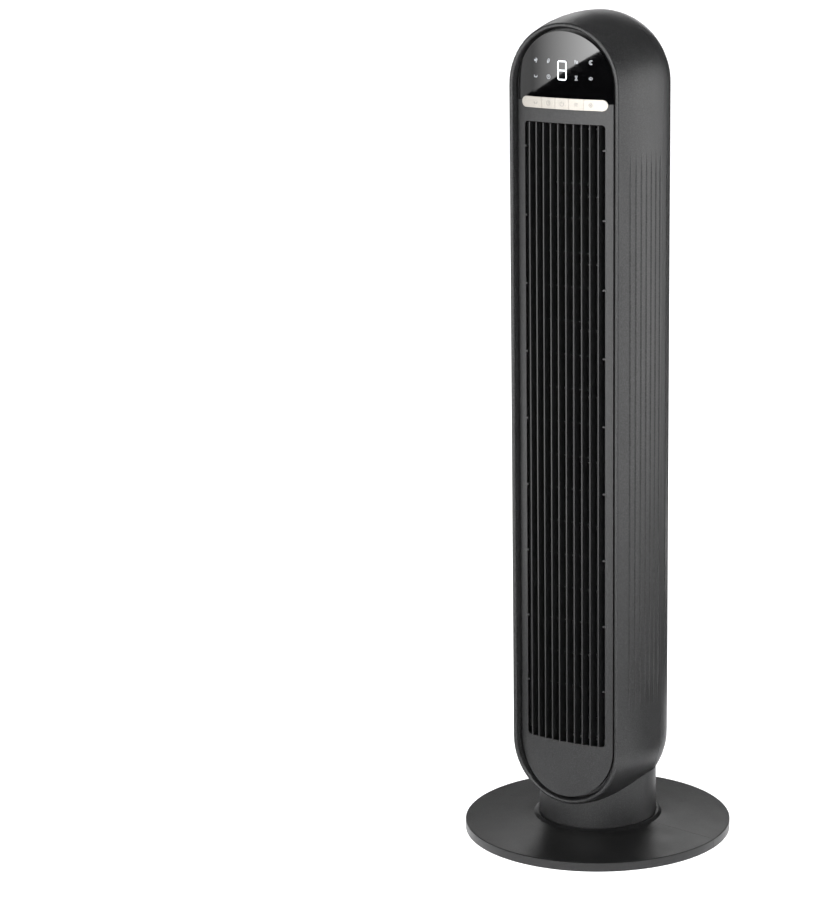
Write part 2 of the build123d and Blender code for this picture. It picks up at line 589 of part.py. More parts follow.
def swivel_motor_screws():
    cx = GEAR_CENTRE + SWIVEL_SHAFT_OFFSET
    z = TABLE_TOP + 1.55
    return group([upright_tube(2.8, 0, z, z + 1.4, cx, sy * 17.5) - box_between(
        cx - 1.8, cx + 1.8, sy * 17.5 - 0.35, sy * 17.5 + 0.35, z + 0.8, z + 2) for sy in (-1, 1)])


# --- Fan drive ----------------------------------------------------------------------------------
def deck_face(front_y):
    """Plan of a cross deck, a little inside the housing, with the cable's hole."""
    return whole_plan(WALL + 0.3, front_y) - Pos(CABLE_X, CABLE_Y) * Circle(CABLE_HOLE)


def rear_tabs(z_low, screw_z):
    tabs = []
    for sx in (-1, 1):
        x = sx * REAR_SCREW_X
        tab = box_between(x - 5, x + 5, 55, 63, z_low, screw_z + 5)
        tabs.append(tab - bar_along_y(1.7 + FIT, x, screw_z, 54, 64))
    return tabs


def motor_deck():
    """Lower deck that carries the motor, on four legs that stand on the turntable."""
    deck = rise(deck_face(-57), DECK_BOTTOM, DECK_BOTTOM + DECK_T)
    deck -= upright_tube(8, 0, DECK_BOTTOM - 1, DECK_BOTTOM + DECK_T + 1, 0, FAN_Y)
    for x, y in ring_points(3, MOTOR_BOLT_R, 90, 0, FAN_Y):
        deck -= upright_tube(1.9, 0, DECK_BOTTOM - 1, DECK_BOTTOM + DECK_T + 1, x, y)
    for x, y in deck_posts():
        deck += upright_tube(DECK_POST_R, 0, TABLE_TOP + 0.02, DECK_BOTTOM + 0.5, x, y)
        deck -= upright_tube(1.6 + FIT, 0, TABLE_TOP - 1, TABLE_TOP + 14, x, y)
    deck += rear_tabs(DECK_BOTTOM + DECK_T - 0.5, REAR_SCREW_ZS[0])
    return deck


def top_deck():
    """Upper deck with the boss that holds the impeller's top bearing."""
    deck = rise(deck_face(-54), TOP_DECK, TOP_DECK + DECK_T)
    deck += upright_tube(14, 0, 800, 810, 0, FAN_Y)
    deck -= upright_tube(10.05, 0, 790, 820, 0, FAN_Y)
    return deck + rear_tabs(TOP_DECK + DECK_T - 0.5, REAR_SCREW_ZS[1])


def bearing_rubber():
    return upright_tube(10.0, 5.55, 800, 810, 0, FAN_Y)


def bearing_bush():
    return upright_tube(5.5, AXLE_R + FIT, 801, 809, 0, FAN_Y)


def motor_housing():
    """Motor can with its mounting flange, and vent slots round its side."""
    can = upright_tube(MOTOR_R, MOTOR_R - 1.5, MOTOR_BOTTOM, MOTOR_TOP, 0, FAN_Y)
    can += upright_tube(MOTOR_R, 8.05, MOTOR_BOTTOM, MOTOR_BOTTOM + 1.5, 0, FAN_Y)
    can += upright_tube(MOTOR_R, 8.05, MOTOR_TOP - 1.5, MOTOR_TOP, 0, FAN_Y)
    can += upright_tube(MOTOR_FLANGE_R, MOTOR_R - 1, MOTOR_TOP - 2, MOTOR_TOP, 0, FAN_Y)
    for x, y in ring_points(3, MOTOR_BOLT_R, 90, 0, FAN_Y):
        can -= upright_tube(1.9, 0, MOTOR_TOP - 4, MOTOR_TOP + 1, x, y)
    for i in range(8):
        vent = Pos(MOTOR_R, 0, 0) * Box(6, 5, 18)
        can -= Pos(0, FAN_Y, (MOTOR_BOTTOM + MOTOR_TOP) / 2) * Rot(0, 0, 22.5 + 45 * i) * vent
    return can


def motor_stator():
    """Laminated ring with twelve inward poles."""
    ring = upright_tube(33.4, 27, 88, 112, 0, FAN_Y)
    for i in range(12):
        pole = Pos(24, 0, 100) * Box(7, 5, 24)
        ring += Pos(0, FAN_Y, 0) * Rot(0, 0, 30 * i) * pole
    return ring


def motor_windings():
    """Copper coils above and below the poles."""
    coils = []
    for i in range(12):
        for z in (85.4, 114.6):
            coil = Pos(24, 0, z) * Box(5.5, 7, 5)
            coils.append(Pos(0, FAN_Y, 0) * Rot(0, 0, 30 * i) * coil)
    return group(coils)


def motor_bearings():
    heights = (MOTOR_BOTTOM, MOTOR_TOP - 5)
    return group([upright_tube(8.0, SHAFT_R + FIT, z, z + 5, 0, FAN_Y) for z in heights])


def motor_cushions():
    """Rubber sleeves between the motor's flange and the deck."""
    return group([upright_tube(5, 1.9, MOTOR_TOP + 0.02, DECK_BOTTOM - 0.02, x, y)
                  for x, y in ring_points(3, MOTOR_BOLT_R, 90, 0, FAN_Y)])


def motor_screws():
    z = MOTOR_TOP - 2.03
    return group([up_screw(x, y, z, DECK_BOTTOM + DECK_T - z - 0.4, 3.4, 1.7, 2)
                  for x, y in ring_points(3, MOTOR_BOLT_R, 90, 0, FAN_Y)])


def motor_rotor():
    return upright_tube(19.8, SHAFT_R + 0.01, 88, 112, 0, FAN_Y)


def motor_shaft():
    return upright_tube(SHAFT_R, 0, 72, FAN_BOTTOM + 6, 0, FAN_Y)


def drive_hub():
    """Hub that clamps the impeller on the motor's shaft, with its screw hole."""
    hub = upright_tube(HUB_BUSH_R, SHAFT_R + 0.01, FAN_BOTTOM - 7, FAN_BOTTOM + 6, 0, FAN_Y)
    return hub - Pos(HUB_BUSH_R - 3, FAN_Y, FAN_BOTTOM - 3.5) * Rot(0, 90, 0) * Cylinder(1.5, 12)


def upper_axle():
    return upright_tube(AXLE_R, 0, 790, 811, 0, FAN_Y)


def blade_face():
    """One curved blade in plan, near the +X side, leaning with the turn."""
    middle = (FAN_IN + FAN_R) / 2
    thickness, bend, lean = 0.5, 1.6, 2.4
    inner, outer = (FAN_IN + 0.3, -lean), (FAN_R - 0.3, lean)
    front = ThreePointArc(inner, (middle - bend, 0.9), outer)
    back = ThreePointArc((outer[0] + thickness * 0.4, outer[1] - thickness * 1.6),
                         (middle - bend + thickness * 1.2, 0.9 - thickness * 1.6),
                         (inner[0] + thickness * 0.4, inner[1] - thickness * 1.6))
    return make_face([front, Line(front @ 1, back @ 0), back, Line(back @ 1, front @ 0)])


def impeller_cage():
    """Cross-flow impeller: a ring of blades tied by thin discs, closed at both ends."""
    blade = rise(blade_face(), FAN_BOTTOM + 0.4, FAN_TOP - 0.4)
    blades = [Pos(0, FAN_Y, 0) * Rot(0, 0, 360 * i / FAN_BLADES) * blade for i in range(FAN_BLADES)]
    pitch = (FAN_TOP - FAN_BOTTOM - FAN_DISC) / FAN_SEGMENTS
    discs = []
    for k in range(1, FAN_SEGMENTS):
        z = FAN_BOTTOM + k * pitch
        discs.append(upright_tube(FAN_R, FAN_IN - 2, z, z + FAN_DISC, 0, FAN_Y))
    bottom = upright_tube(FAN_R, HUB_BUSH_R + 0.01, FAN_BOTTOM, FAN_BOTTOM + FAN_DISC, 0, FAN_Y)
    top = upright_tube(FAN_R, AXLE_R + 0.01, FAN_TOP - FAN_DISC, FAN_TOP, 0, FAN_Y)
    return bottom.fuse(top, *discs, *blades)


def air_guide():
    """Curved wall behind the impeller on one side, leading the air to the grille."""
    outer = Spline((52.5, -59.5), (58.5, -30), (57.5, 0), (48, 30), (40, 42))
    inner = Spline((38.3, 40.9), (46.1, 29.2), (55.5, -0.3), (56.5, -30), (50.5, -59.5))
    wall = make_face([outer, Line(outer @ 1, inner @ 0), inner, Line(inner @ 1, outer @ 0)])
    return rise(wall, DECK_BOTTOM + DECK_T + 0.1, TOP_DECK - 0.1)


def air_tongue():
    """Straight wall on the other side, ending in a rounded tongue close to the impeller."""
    wall = make_face(Polyline((-52.5, -59.5), (-50.5, -59.5), (-45.2, -33.5), (-40.6, -21.5),
                              (-42.8, -18.6), (-47.2, -31), close=True))
    return rise(wall, DECK_BOTTOM + DECK_T + 0.1, TOP_DECK - 0.1)


# --- Electrics ----------------------------------------------------------------------------------
def power_board():
    return box_between(-32, 32, -49.6, -48.0, 62, 120)


def power_board_parts():
    """Transformer, capacitors, relay and sockets on the power board."""
    y = -47.98
    return group([
        box_between(-26, -8, y, y + 12, 66, 84),
        Pos(6, y + 8, 74) * Rot(90, 0, 0) * Cylinder(6, 16),
        Pos(20, y + 6, 72) * Rot(90, 0, 0) * Cylinder(5, 12),
        box_between(0, 16, y, y + 10, 92, 104),
        box_between(-28, -18, y, y + 6, 98, 106),
        box_between(20, 28, y, y + 6, 108, 114),
    ])


def display_cable():
    """Cable from the power board up the side to the display board."""
    path = FilletPolyline((-29, -45.5, 113), (-52, -42, 113), (CABLE_X, CABLE_Y, 119),
                          (CABLE_X, CABLE_Y, 824), (-56, -46, 832), (-50, -53.3, 832), radius=5)
    start = Plane(path @ 0, z_dir=path % 0)
    return sweep(start * Circle(CABLE_R), path)


# --- Write one file per piece ---------------------------------------------------------------------
PIECES = [
    base_front_cover, base_rear_cover, base_plate, base_weight, base_feet, base_screws, cord_gland,
    pivot_post, slide_ring, sun_gear, pivot_washer, pivot_nut, turntable, turntable_screws,
    neck_collar, swivel_motor, swivel_motor_screws, swivel_pinion, front_housing, rear_housing,
    housing_screws, front_grille, display_lens, display_board, display_board_screws, digit_module,
    indicator_lights, infrared_receiver, key_switches, motor_deck, top_deck, bearing_rubber,
    bearing_bush, motor_housing, motor_stator, motor_windings, motor_bearings, motor_cushions,
    motor_screws, motor_rotor, motor_shaft, drive_hub, upper_axle, impeller_cage, air_guide,
    air_tongue, power_board, power_board_parts, display_cable,
]


def main():
    os.makedirs("parts", exist_ok=True)
    shapes = {piece.__name__: piece() for piece in PIECES}
    shapes.update({name: key(a, b) for name, a, b in zip(KEY_NAMES, KEY_EDGES, KEY_EDGES[1:])})
    for name, shape in shapes.items():
        export_step(group([shape]), f"parts/{name}.step")


main()
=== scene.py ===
"""Looks of the tower fan: finishes of every CAD part, lit display, key symbols, lights and camera."""

import json
from math import cos, pi, radians, sin, sqrt

import bpy
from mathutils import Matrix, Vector


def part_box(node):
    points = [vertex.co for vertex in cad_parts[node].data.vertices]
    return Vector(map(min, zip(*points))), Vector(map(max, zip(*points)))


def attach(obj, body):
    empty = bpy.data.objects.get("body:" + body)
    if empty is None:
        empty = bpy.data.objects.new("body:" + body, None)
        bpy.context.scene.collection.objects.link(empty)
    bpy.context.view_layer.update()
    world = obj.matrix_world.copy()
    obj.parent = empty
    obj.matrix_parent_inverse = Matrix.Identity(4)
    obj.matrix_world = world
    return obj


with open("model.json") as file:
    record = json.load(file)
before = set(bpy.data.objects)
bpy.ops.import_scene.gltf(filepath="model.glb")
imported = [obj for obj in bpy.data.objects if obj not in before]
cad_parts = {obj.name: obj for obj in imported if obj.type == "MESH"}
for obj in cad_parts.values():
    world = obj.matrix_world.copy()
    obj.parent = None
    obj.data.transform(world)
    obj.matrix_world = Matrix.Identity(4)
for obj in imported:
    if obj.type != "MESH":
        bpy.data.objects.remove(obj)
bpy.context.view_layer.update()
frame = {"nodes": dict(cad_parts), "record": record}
NODES = frame["nodes"]
MM = 0.001

# --- Places, from the frame -----------------------------------------------------------------------
BOW_R = 230 * MM  # radius of the front's bow, about an upright axis
LENS_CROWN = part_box("display_lens")[0].y
KEYS = ["swing_button", "timer_button", "power_button", "mode_button", "speed_button"]
KEY_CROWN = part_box("power_button")[0].y  # front of the middle key, where the bow comes furthest forward
PITCH = 17 * MM  # between two keys, and between two icons of a row

# --- Sizes of the symbols -------------------------------------------------------------------------
DIGIT_PLACE = (0.0, 860.5 * MM)
DIGIT_W, DIGIT_H, DIGIT_STROKE = 11.0 * MM, 20.4 * MM, 1.3 * MM
DIGIT_GAP = 0.18 * MM  # half the gap between two bars of the digit
ICON_ROWS = (870.0 * MM, 853.2 * MM)
ICON_COLUMNS = (-2 * PITCH, -PITCH, PITCH, 2 * PITCH)
ICON_R, ICON_LINE = 2.1 * MM, 0.42 * MM
KEY_SYMBOL_R, KEY_SYMBOL_LINE = 2.3 * MM, 0.38 * MM
PRINT_T = 0.04 * MM  # thickness of printed and lit symbols


# --- Materials ------------------------------------------------------------------------------------
class Surface:
    """A Principled material whose detail comes from noise laid out in metres over the part."""

    def __init__(self, name, rough, metallic=0.0, specular=0.5, coat=0.0, coat_rough=0.05):
        self.material = bpy.data.materials.new(name)
        self.material.use_nodes = True
        self.nodes = self.material.node_tree.nodes
        self.links = self.material.node_tree.links
        self.shader = self.nodes["Principled BSDF"]
        self.shader.inputs["Metallic"].default_value = metallic
        self.shader.inputs["Roughness"].default_value = rough
        self.shader.inputs["Specular IOR Level"].default_value = specular
        self.shader.inputs["Coat Weight"].default_value = coat
        self.shader.inputs["Coat Roughness"].default_value = coat_rough
        self.where = self.nodes.new("ShaderNodeTexCoord").outputs["Object"]
        self.normal = None

    def noise(self, size, detail=2.0, stretch=(1, 1, 1)):
        """Noise whose blobs are about size metres across, stretched along each axis."""
        mapping = self.nodes.new("ShaderNodeMapping")
        mapping.inputs["Scale"].default_value = [1 / s for s in stretch]
        self.links.new(self.where, mapping.inputs["Vector"])
        texture = self.nodes.new("ShaderNodeTexNoise")
        texture.inputs["Scale"].default_value = 1 / size
        texture.inputs["Detail"].default_value = detail
        self.links.new(mapping.outputs["Vector"], texture.inputs["Vector"])
        return texture.outputs["Fac"]

    def cells(self, size):
        """Rounded grains about size metres across, like spark-eroded moulding texture."""
        texture = self.nodes.new("ShaderNodeTexVoronoi")
        texture.feature = "SMOOTH_F1"
        texture.inputs["Scale"].default_value = 1 / size
        self.links.new(self.where, texture.inputs["Vector"])
        return texture.outputs["Distance"]

    def spread(self, source, low, high, start=0.3, end=0.7):
        """source, stretched from start..end to low..high."""
        node = self.nodes.new("ShaderNodeMapRange")
        for name, value in (("From Min", start), ("From Max", end), ("To Min", low), ("To Max", high)):
            node.inputs[name].default_value = value
        self.links.new(source, node.inputs["Value"])
        return node.outputs["Result"]

    def blend(self, factor, first, second):
        """A mix of two colours, each a tuple or a socket."""
        node = self.nodes.new("ShaderNodeMix")
        node.data_type = "RGBA"
        self.links.new(factor, node.inputs["Factor"])
        for socket, value in ((node.inputs[6], first), (node.inputs[7], second)):
            if isinstance(value, tuple):
                socket.default_value = (*value, 1)
            else:
                self.links.new(value, socket)
        return node.outputs[2]

    def times(self, first, second):
        """The product of two values, each a number or a socket."""
        node = self.nodes.new("ShaderNodeMath")
        node.operation = "MULTIPLY"
        for socket, value in zip(node.inputs, (first, second)):
            if isinstance(value, float):
                socket.default_value = value
            else:
                self.links.new(value, socket)
        return node.outputs[0]

    def blend_value(self, first, second, factor):
        """A mix of two number sockets."""
        node = self.nodes.new("ShaderNodeMix")
        node.inputs["Factor"].default_value = factor
        self.links.new(first, node.inputs[2])
        self.links.new(second, node.inputs[3])
        return node.outputs[0]

    def upward(self):
        """How far the surface faces up, which is where dust lies."""
        geometry = self.nodes.new("ShaderNodeNewGeometry")
        parts = self.nodes.new("ShaderNodeSeparateXYZ")
        self.links.new(geometry.outputs["Normal"], parts.inputs["Vector"])
        return self.spread(parts.outputs["Z"], 0.0, 1.0, 0.6, 1.0)

    def edges(self):
        """How convex the surface is, which is where it wears and where a painted edge highlight goes."""
        geometry = self.nodes.new("ShaderNodeNewGeometry")
        return self.spread(geometry.outputs["Pointiness"], 0.0, 1.0, 0.52, 0.6)

    def set(self, name, source):
        """Drives one of the shader's inputs."""
        self.links.new(source, self.shader.inputs[name])

    def bump(self, height, depth, strength=1.0):
        """Adds a bump, depth metres deep, on top of any bump added before."""
        node = self.nodes.new("ShaderNodeBump")
        node.inputs["Strength"].default_value = strength
        node.inputs["Distance"].default_value = depth
        self.links.new(height, node.inputs["Height"])
        if self.normal:
            self.links.new(self.normal, node.inputs["Normal"])
        self.normal = node.outputs["Normal"]
        self.set("Normal", self.normal)


def tint(colour, factor):
    """The colour made darker or lighter by a factor."""
    return tuple(min(1.0, c * factor) for c in colour)


DUST = (0.42, 0.41, 0.39)
COARSE_GRAIN = 1.15 * MM  # the moulding texture that shows from across a room


def plastic(name, colour, rough, grain=0.5 * MM, dust=0.05, edge_wear_and_highlight=0.35, grain_and_glint=0.0):
    """Moulded plastic: grain, mottling, handling marks, dust on top, convex edges lighter partly from wear
    and partly as a painted edge highlight, and coarse grain flecks painted lighter as glints. The last
    argument sets both the coarse grain's depth and how much of it is painted lighter as glints.
    """
    s = Surface(name, rough)
    mottle = s.blend(s.spread(s.noise(9 * MM, 4), 0, 1), tint(colour, 0.9), tint(colour, 1.1))
    coarse = s.noise(COARSE_GRAIN, 2)
    # coarse grain flecks painted up to five times lighter: painted glints of the grain catching light
    mottle_and_glints = s.blend(s.spread(coarse, 0, grain_and_glint, 0.42, 0.7), mottle, tint(colour, 5.0))
    # convex edges painted lighter: partly wear, partly a painted edge highlight
    edges_worn_and_highlit = s.blend(s.times(s.edges(), edge_wear_and_highlight), mottle_and_glints, tint(colour, 2.2))
    drift = s.times(s.spread(s.noise(40 * MM, 3), 0.3, 1, 0.35, 0.7), dust)
    s.set("Base Color", s.blend(s.times(s.upward(), drift), edges_worn_and_highlit, DUST))
    marks = s.noise(30 * MM, 5, (1, 1, 2.5))
    handled = s.spread(marks, rough - 0.04, rough + 0.05)
    s.set("Roughness", s.blend_value(handled, s.spread(coarse, 0.3, 0.6), 0.35))
    s.bump(s.cells(grain), 0.012 * MM)
    s.bump(coarse, 0.12 * MM * min(1.0, grain_and_glint + 0.15))
    s.bump(s.noise(60 * MM, 2), 0.15 * MM, 0.25)
    return s.material


def metal(name, colour, rough, stretch=(1, 1, 1), line=0.4 * MM, depth=0.004 * MM, stain=0.85):
    """Machined or plated metal: fine tool lines along the stretched axis, and a patchy tarnish."""
    s = Surface(name, rough, metallic=1.0)
    s.set("Base Color", s.blend(s.spread(s.noise(6 * MM, 6), 0, 1, 0.35, 0.65), tint(colour, stain), colour))
    lines = s.noise(line, 3, stretch)
    s.set("Roughness", s.spread(lines, rough - 0.08, rough + 0.1))
    s.bump(lines, depth)
    return s.material


def rubber(name, colour, rough=0.8):
    """Soft rubber: close pores and a bloom of dust."""
    s = Surface(name, rough, specular=0.3)
    s.set("Base Color", s.blend(s.spread(s.noise(4 * MM, 6), 0, 0.5, 0.4, 0.7), colour, tint(colour, 2.4)))
    s.set("Roughness", s.spread(s.noise(8 * MM, 4), rough - 0.1, rough + 0.1))
    s.bump(s.noise(0.35 * MM, 3), 0.03 * MM)
    return s.material


def gloss_black(name):
    """Polished dark window: near black, with wipe marks only in its gloss."""
    s = Surface(name, 0.02, specular=0.55, coat=0.6, coat_rough=0.0)
    cloud = s.spread(s.noise(40 * MM, 3), 0, 1)
    s.set("Base Color", s.blend(cloud, (0.0018, 0.0018, 0.002), (0.003, 0.003, 0.0034)))
    s.set("Roughness", s.spread(s.noise(12 * MM, 7, (3, 1, 1)), 0.012, 0.03, 0.35, 0.75))
    return s.material


def champagne(name):
    """Pearl paint on the keys: mica flakes under a satin coat."""
    s = Surface(name, 0.34, metallic=0.35, coat=0.25, coat_rough=0.2)
    flakes = s.noise(0.12 * MM, 0)
    s.set("Base Color", s.blend(s.spread(flakes, 0, 1, 0.4, 0.7), (0.46, 0.43, 0.385), (0.62, 0.59, 0.535)))
    s.set("Roughness", s.spread(s.noise(7 * MM, 4), 0.3, 0.4))
    s.bump(flakes, 0.004 * MM)
    return s.material


def circuit(name):
    """Black solder mask over copper: faint raised tracks."""
    s = Surface(name, 0.35, specular=0.5, coat=0.3)
    tracks = s.nodes.new("ShaderNodeTexBrick")
    tracks.inputs["Scale"].default_value = 1 / (14 * MM)
    tracks.inputs["Mortar Size"].default_value = 0.035
    s.links.new(s.where, tracks.inputs["Vector"])
    base = s.blend(s.spread(s.noise(5 * MM, 4), 0, 1), (0.004, 0.006, 0.005), (0.007, 0.010, 0.008))
    s.set("Base Color", s.blend(tracks.outputs["Fac"], base, (0.012, 0.018, 0.014)))
    s.bump(tracks.outputs["Fac"], 0.04 * MM)
    return s.material


def lamination(name):
    """Stacked steel sheets: fine level lines and a little rust in patches."""
    s = Surface(name, 0.5, metallic=0.8)
    rust = s.spread(s.noise(3 * MM, 6), 0, 1, 0.5, 0.75)
    s.set("Base Color", s.blend(rust, (0.20, 0.20, 0.21), (0.16, 0.10, 0.07)))
    s.bump(s.noise(0.5 * MM, 0, (40, 40, 1)), 0.08 * MM)
    return s.material


def copper(name):
    """Enamelled winding wire: close turns and a warm lacquer."""
    s = Surface(name, 0.3, metallic=0.9, coat=0.5)
    turns = s.noise(0.45 * MM, 0, (40, 40, 1))
    s.set("Base Color", s.blend(s.spread(turns, 0, 1), (0.36, 0.12, 0.05), (0.72, 0.30, 0.14)))
    s.bump(turns, 0.15 * MM)
    return s.material


def light_guide(name):
    """Milky clear plastic that carries the display's light."""
    s = Surface(name, 0.25, specular=0.5)
    s.set("Base Color", s.blend(s.spread(s.noise(3 * MM, 4), 0, 1), (0.70, 0.72, 0.75), (0.86, 0.88, 0.9)))
    s.bump(s.noise(0.8 * MM, 2), 0.01 * MM)
    return s.material


def lit(name, colour, strength, unlit):
    """A lit symbol, a little uneven in brightness as light guides are."""
    s = Surface(name, 0.3)
    glow = s.spread(s.noise(3 * MM, 2), 0.82, 1.0)
    s.set("Base Color", s.blend(glow, tint(unlit, 0.8), unlit))
    s.set("Emission Color", s.blend(glow, tint(colour, 0.8), colour))
    s.shader.inputs["Emission Strength"].default_value = strength
    return s.material


def printed(name, colour):
    """Screen-printed ink, slightly thin in places."""
    s = Surface(name, 0.5)
    s.set("Base Color", s.blend(s.spread(s.noise(0.5 * MM, 3), 0, 1), tint(colour, 0.82), colour))
    s.bump(s.noise(0.2 * MM, 1), 0.005 * MM)
    return s.material


CHARCOAL = (0.010, 0.0101, 0.0104)
FINISHES = {
    "charcoal_shell": plastic("charcoal_shell", CHARCOAL, 0.4, dust=0.012, grain_and_glint=0.8),
    "grille_plastic": plastic("grille_plastic", CHARCOAL, 0.4, grain_and_glint=0.6),
    "base_plastic": plastic("base_plastic", (0.005, 0.0051, 0.0053), 0.34, dust=0.006, grain_and_glint=0.3),
    "underside_plastic": plastic("underside_plastic", (0.02, 0.02, 0.02), 0.55, grain=0.8 * MM, dust=0.0),
    "ballast_steel": metal("ballast_steel", (0.33, 0.32, 0.31), 0.5, line=1.5 * MM, depth=0.03 * MM,
                           stain=0.6),
    "foot_rubber": rubber("foot_rubber", (0.018, 0.018, 0.019)),
    "screw_steel": metal("screw_steel", (0.66, 0.66, 0.64), 0.3),
    "black_screw": metal("black_screw", (0.04, 0.04, 0.042), 0.4),
    "pivot_steel": metal("pivot_steel", (0.55, 0.55, 0.56), 0.28, (20, 20, 1)),
    "gear_plastic": plastic("gear_plastic", (0.74, 0.73, 0.68), 0.4, dust=0.0, edge_wear_and_highlight=0.1),
    "bush_bronze": metal("bush_bronze", (0.62, 0.42, 0.20), 0.35, (20, 20, 1)),
    "inner_plastic": plastic("inner_plastic", (0.014, 0.014, 0.0145), 0.55, grain=0.8 * MM, dust=0.03),
    "impeller_plastic": plastic("impeller_plastic", (0.014, 0.014, 0.015), 0.42, grain=0.6 * MM, dust=0.06),
    "hub_aluminium": metal("hub_aluminium", (0.78, 0.78, 0.79), 0.3, (20, 20, 1)),
    "motor_steel": metal("motor_steel", (0.56, 0.57, 0.58), 0.36, line=3 * MM, depth=0.01 * MM, stain=0.7),
    "lamination_steel": lamination("lamination_steel"),
    "winding_copper": copper("winding_copper"),
    "display_gloss": gloss_black("display_gloss"),
    "circuit_board": circuit("circuit_board"),
    "component_black": plastic("component_black", (0.02, 0.02, 0.021), 0.45, dust=0.0),
    "light_guide": light_guide("light_guide"),
    "key_champagne": champagne("key_champagne"),
    "cable_sheath": rubber("cable_sheath", (0.02, 0.02, 0.021), 0.6),
}


def dress_frame():
    """Gives every CAD part its slot's finish."""
    for part in frame["record"]["subparts"]:
        node = NODES[part["node"]]
        node.data.materials.clear()
        node.data.materials.append(FINISHES[part["material_slot"]])


# --- Symbols --------------------------------------------------------------------------------------
def bow_y(x, crown):
    """Front face of the bow at x, for a face whose crown is at y = crown."""
    radius = BOW_R + (LENS_CROWN - crown)
    return crown + radius - sqrt(radius * radius - x * x)


def stroke(points, width, closed=False):
    """Quads of a flat ribbon of one width along points in x and z. Returns left and right edges."""
    sides = []
    count = len(points)
    for i, point in enumerate(points):
        before = points[i - 1] if i or closed else point
        after = points[(i + 1) % count] if i < count - 1 or closed else point
        first = (Vector(point) - Vector(before)).normalized() if before != point else None
        second = (Vector(after) - Vector(point)).normalized() if after != point else None
        first, second = first or second, second or first
        along = (first + second).normalized()
        across = Vector((-along.y, along.x)) * (width / 2 / max(0.5, along.dot(first)))
        sides.append((Vector(point) + across, Vector(point) - across))
    return sides


def symbol(name, strokes, width, centre, crown, finish, body, fills=()):
    """Raised ribbons and filled outlines that follow the bow, as one piece on a body."""
    verts, faces = [], []

    def place(p, lift):
        x, z = centre[0] + p[0], centre[1] + p[1]
        verts.append((x, bow_y(x, crown) - lift, z))
        return len(verts) - 1

    for points, closed in strokes:
        sides = stroke(points, width, closed)
        rings = []
        for left, right in sides:
            rings.append([place(left, 0), place(left, PRINT_T), place(right, PRINT_T), place(right, 0)])
        pairs = list(zip(rings, rings[1:])) + ([(rings[-1], rings[0])] if closed else [])
        for a, b in pairs:
            faces += [(a[k], b[k], b[(k + 1) % 4], a[(k + 1) % 4]) for k in range(4)]
        if not closed:
            faces += [tuple(rings[0]), tuple(reversed(rings[-1]))]
    for outline in fills:
        back = [place(p, 0) for p in outline]
        front = [place(p, PRINT_T) for p in outline]
        faces += [tuple(front), tuple(reversed(back))]
        count = len(outline)
        faces += [(back[i], back[(i + 1) % count], front[(i + 1) % count], front[i]) for i in range(count)]
    mesh = bpy.data.meshes.new(name)
    mesh.from_pydata(verts, [], faces)
    mesh.validate()
    mesh.materials.append(finish)
    piece = bpy.data.objects.new(name, mesh)
    bpy.context.scene.collection.objects.link(piece)
    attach(piece, body)


def arc(cx, cz, radius, start, end, steps=16):
    """Points along an arc, from one angle to another in degrees."""
    turns = [radians(start + (end - start) * i / steps) for i in range(steps + 1)]
    return [(cx + radius * cos(t), cz + radius * sin(t)) for t in turns]


def wave(z, half, height, steps=18):
    """Points along one wave, from -half to half."""
    return [(half * (2 * i / steps - 1), z + height * sin(2 * pi * i / steps)) for i in range(steps + 1)]


# Each icon is a list of strokes, (points, closed), that fill a square of half-width r about (0, 0).
def ring(radius):
    return (arc(0, 0, radius, 0, 360, 32)[:-1], True)


def clock_icon(r):
    return [ring(r), ([(0, r * 0.6), (0, 0), (r * 0.45, 0)], False)]


def power_icon(r):
    return [(arc(0, -r * 0.05, r, 125, 415, 24), False), ([(0, r * 1.1), (0, r * 0.15)], False)]


def wind_icon(r):
    return [(arc(r * 0.3, r * 0.55, r * 0.35, -90, 150, 10)[::-1] + [(-r, r * 0.2)], False),
            ([(-r, -r * 0.15)] + arc(r * 0.65, r * 0.2, r * 0.35, -90, 120, 10), False),
            ([(-r * 0.7, -r * 0.5)] + arc(r * 0.2, -r * 0.85, r * 0.35, 90, -120, 10), False)]


def leaf_icon(r):
    edge = arc(0, 0, r, 60, 240, 14)
    other = arc(0, 0, r, 60, -120, 14)
    return [([(x * 0.62 + z * 0.3, z) for x, z in edge], False),
            ([(x * 0.62 + z * 0.3, z) for x, z in other], False),
            ([(-r * 0.75, -r * 1.1), (r * 0.2, r * 0.35)], False)]


def wave_icon(r):
    return [(wave(k * r * 0.55, r, r * 0.22), False) for k in (-1, 0, 1)]


def moon_icon(r):
    outer = arc(0, 0, r, 50, 310, 20)
    inner = arc(r * 0.5, 0, r * 0.8, 285, 75, 16)
    return [(outer + inner, True)]


def swing_icon(r):
    return [(arc(0, r * 1.0, r * 1.5, 235, 305, 12), False),
            ([(-r * 0.35, -r * 0.7), (-r * 0.95, -r * 0.25), (-r * 0.8, r * 0.5)], False),
            ([(r * 0.35, -r * 0.7), (r * 0.95, -r * 0.25), (r * 0.8, r * 0.5)], False)]


def hourglass_icon(r):
    return [([(-r * 0.7, r), (r * 0.7, r), (-r * 0.7, -r), (r * 0.7, -r)], True)]


def speaker_icon(r):
    return [([(-r, r * 0.35), (-r * 0.5, r * 0.35), (0, r * 0.8), (0, -r * 0.8), (-r * 0.5, -r * 0.35),
              (-r, -r * 0.35)], True),
            (arc(0, 0, r * 0.7, -50, 50, 8), False)]


def fan_icon(r):
    strokes = [ring(r * 0.2)]
    for k in range(4):
        blade = arc(r * 0.58, 0, r * 0.42, -150, 150, 14)
        a = k * pi / 2
        strokes.append(([(x * cos(a) - z * sin(a), x * sin(a) + z * cos(a)) for x, z in blade], False))
    return strokes


def lines_icon(r):
    return [([(-r, k * r * 0.6), (r, k * r * 0.6)], False) for k in (-1, 0, 1)]


